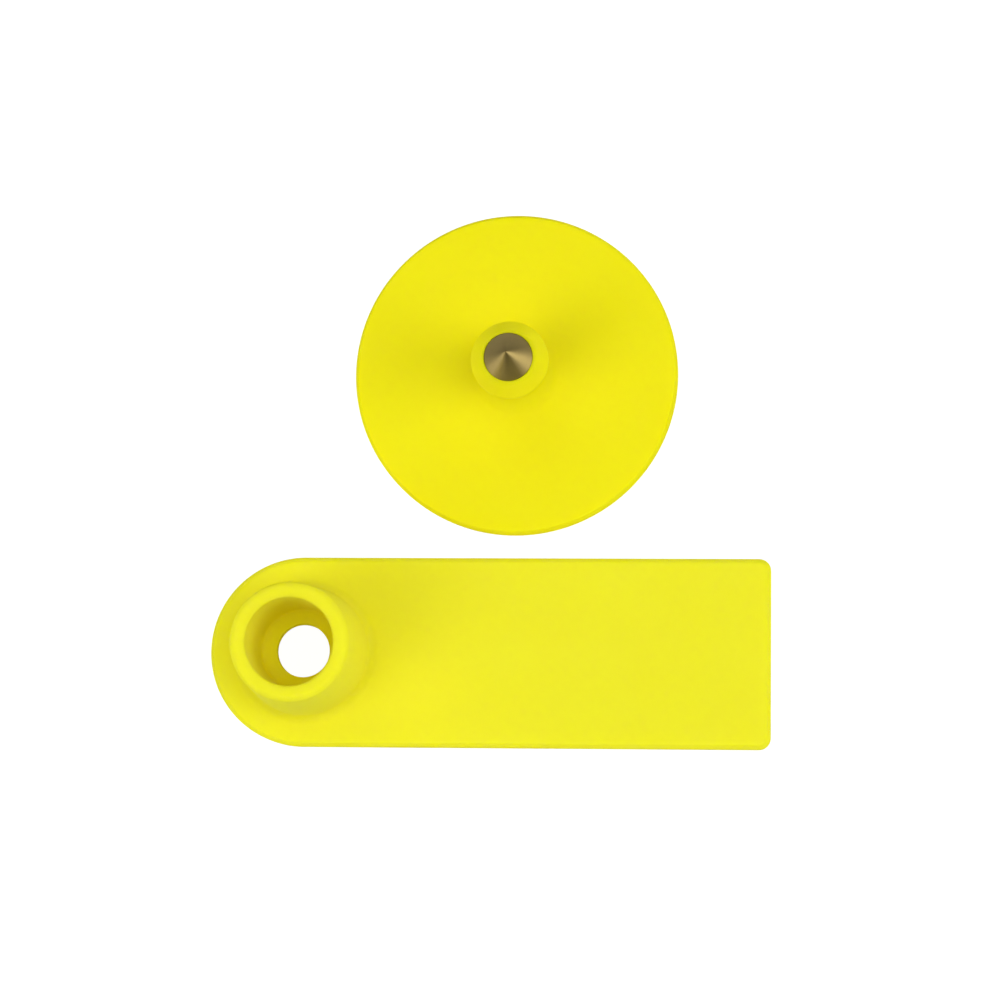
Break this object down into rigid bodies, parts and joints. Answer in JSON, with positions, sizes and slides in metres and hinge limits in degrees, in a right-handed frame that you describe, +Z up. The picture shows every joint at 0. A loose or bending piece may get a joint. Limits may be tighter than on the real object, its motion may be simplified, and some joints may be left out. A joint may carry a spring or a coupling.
{
  "type": "livestock ear tag",
  "caption": "Yellow plastic livestock ear tag, laid open: a flag with a socket boss beside a round button whose barbed stud has a pointed metal tip.",
  "frame": {"origin": "middle of the pair's footprint, on the plane that both halves lie on", "axes": "+X along the flag away from its boss, +Y from the flag to the button, +Z up, the way the boss and the stud point"},
  "size_m": [0.052, 0.05, 0.0141],
  "materials": {
    "flag_plastic": "satin",
    "button_plastic": "satin",
    "tip_metal": "satin"
  },
  "bodies": {
    "root": {"flag": "flag_plastic", "button": "button_plastic", "metal_tip": "tip_metal"}
  },
  "joints": []
}
